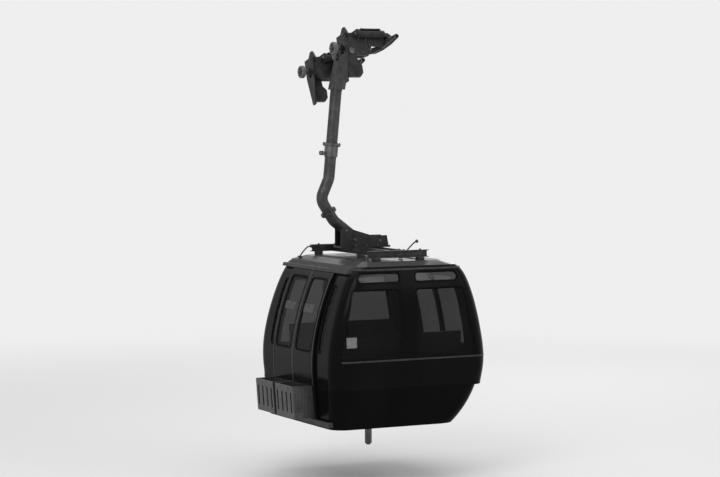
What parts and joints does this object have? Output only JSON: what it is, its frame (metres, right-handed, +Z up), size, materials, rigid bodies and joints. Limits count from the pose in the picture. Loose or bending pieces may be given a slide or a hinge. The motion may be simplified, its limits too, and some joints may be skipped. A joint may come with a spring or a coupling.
{
  "type": "ropeway cabin",
  "caption": "Enclosed ropeway cabin with sliding double doors, ski racks, swan-neck hanger and a double grip that clamps a hauling rope.",
  "frame": {"origin": "on the rope's axis, midway between the two grip units", "axes": "+X towards the uphill end of the line, +Z up, doors on the -Y side; the rope rises 17.2 degrees towards +X"},
  "size_m": [2.2202, 2.4818, 5.3137],
  "materials": {
    "body_paint": "glossy near-black paint",
    "pan_paint": "satin black paint",
    "door_paint": "glossy dark grey paint",
    "tinted_glass": "grey tinted acrylic panes",
    "clear_glass": "clear acrylic vent panes",
    "hanger_steel": "galvanised tube, weathered",
    "rail_metal": "weathered aluminium",
    "rack_metal": "scuffed aluminium",
    "grip_steel": "dark greased steel castings",
    "bright_steel": "worn bright steel",
    "roller_rubber": "rubber lined roller",
    "seat_shell": "grey moulded seats",
    "floor_rubber": "ribbed rubber floor"
  },
  "bodies": {
    "grip": {"grip_beam": "grip_steel", "pivot_pin": "bright_steel", "grip_body_uphill": "grip_steel", "fixed_jaw_uphill": "bright_steel", "moving_jaw_uphill": "bright_steel", "grip_lever_uphill": "grip_steel", "roller_axle_uphill": "bright_steel", "grip_body_downhill": "grip_steel", "fixed_jaw_downhill": "bright_steel", "moving_jaw_downhill": "bright_steel", "grip_lever_downhill": "grip_steel", "roller_axle_downhill": "bright_steel"},
    "cabin": {"hanger_head": "hanger_steel", "hanger_tube": "hanger_steel", "hanger_collar": "bright_steel", "hanger_foot": "hanger_steel", "roof_cross_rails": "rail_metal", "roof_long_beams": "rail_metal", "roof": "body_paint", "underbody_pan": "pan_paint", "floor_board": "floor_rubber", "guide_pin": "bright_steel", "door_header": "body_paint", "door_rail_top": "rail_metal", "door_rail_bottom": "rail_metal", "skirt_back": "body_paint", "window_frame_back": "body_paint", "glass_sides": "tinted_glass", "skirt_uphill": "body_paint", "window_frame_uphill": "body_paint", "glass_uphill": "tinted_glass", "vent_panes_uphill": "clear_glass", "seat_uphill": "seat_shell", "seat_back_uphill": "seat_shell", "skirt_downhill": "body_paint", "window_frame_downhill": "body_paint", "glass_downhill": "tinted_glass", "vent_panes_downhill": "clear_glass", "seat_downhill": "seat_shell", "seat_back_downhill": "seat_shell"},
    "roller_uphill": {"grip_roller_uphill": "roller_rubber"},
    "door_uphill": {"door_leaf_uphill": "door_paint", "door_glass_uphill": "tinted_glass", "ski_rack_uphill": "rack_metal"},
    "roller_downhill": {"grip_roller_downhill": "roller_rubber"},
    "door_downhill": {"door_leaf_downhill": "door_paint", "door_glass_downhill": "tinted_glass", "ski_rack_downhill": "rack_metal"}
  },
  "joints": [
    {"name": "cabin_swing", "type": "hinge", "parent": "grip", "child": "cabin", "pos_m": [0, -0.38, 0], "axis": [0, 1, 0], "range_deg": [-57.2, 22.8]},
    {"name": "door_slide", "type": "slide", "parent": "cabin", "child": "door_uphill", "axis": [1, 0, 0], "range_m": [0, 0.49]},
    {"name": "door_follow", "type": "slide", "parent": "cabin", "child": "door_downhill", "axis": [1, 0, 0], "range_m": [-0.49, 0]},
    {"name": "roller_uphill_turn", "type": "hinge", "parent": "grip", "child": "roller_uphill", "pos_m": [0.4682, -0.73, 0.07689], "axis": [0, 1, 0], "continuous": true},
    {"name": "roller_downhill_turn", "type": "hinge", "parent": "grip", "child": "roller_downhill", "pos_m": [-0.42976, -0.73, -0.20108], "axis": [0, 1, 0], "continuous": true}
  ],
  "couplings": [
    {"joint": "door_follow", "follows": "door_slide", "ratio": -1}
  ]
}
